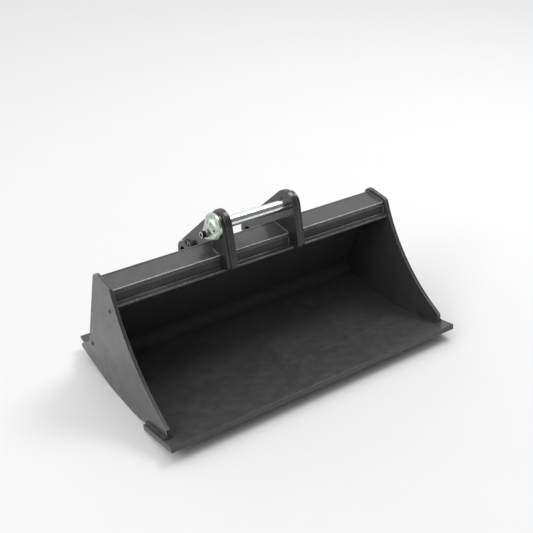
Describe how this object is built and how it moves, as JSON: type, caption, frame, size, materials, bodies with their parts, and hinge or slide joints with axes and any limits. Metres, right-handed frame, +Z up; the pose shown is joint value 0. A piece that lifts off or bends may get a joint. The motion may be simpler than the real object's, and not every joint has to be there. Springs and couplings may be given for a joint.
{
  "type": "excavator grading bucket",
  "caption": "Wide smooth-edged digging bucket of welded plate with a box header, two hanger ears and a plated arm pin held by a bolted keeper plate",
  "frame": {"origin": "centre of the underside of the box round the bucket as it stands on its belly flat", "axes": "+X across the bucket towards its right-hand side plate seen from the mouth, +Y rearwards from the cutting edge to the heel, +Z up"},
  "size_m": [1.5, 0.886, 0.6999],
  "materials": {
    "shell_paint": "satin dark grey paint over steel plate",
    "bush_steel": "machined hardened steel, lightly oiled",
    "zinc_plate": "zinc plated, slightly green-grey",
    "bolt_steel": "dark knurled side with a bright end"
  },
  "bodies": {
    "bucket": {"cutting_edge": "shell_paint", "floor_sheet": "shell_paint", "back_sheet": "shell_paint", "heel_plate": "shell_paint", "side_plate_left": "shell_paint", "side_plate_right": "shell_paint", "header_top_plate": "shell_paint", "header_front_plate": "shell_paint", "header_base_sheet": "shell_paint", "header_rib_left": "shell_paint", "header_rib_right": "shell_paint", "ear_left": "shell_paint", "ear_right": "shell_paint", "ear_pad_left": "shell_paint", "ear_pad_right": "shell_paint", "link_boss_left": "shell_paint", "link_boss_right": "shell_paint", "keeper_boss": "shell_paint", "link_keeper_boss": "shell_paint", "side_screws_left": "shell_paint", "side_screws_right": "shell_paint", "arm_bush_left": "bush_steel", "arm_bush_right": "bush_steel", "link_bush_left": "bush_steel", "link_bush_right": "bush_steel"},
    "arm_pin": {"arm_pin": "zinc_plate", "keeper_plate": "zinc_plate"},
    "keeper_bolt": {"keeper_bolt": "bolt_steel", "keeper_washer": "zinc_plate"}
  },
  "joints": [
    {"name": "pin_withdraw", "type": "slide", "parent": "bucket", "child": "arm_pin", "axis": [-1, 0, 0], "range_m": [0, 0.37]},
    {"name": "bolt_unscrew", "type": "slide", "parent": "arm_pin", "child": "keeper_bolt", "axis": [-1, 0, 0], "range_m": [0, 0.045]}
  ]
}
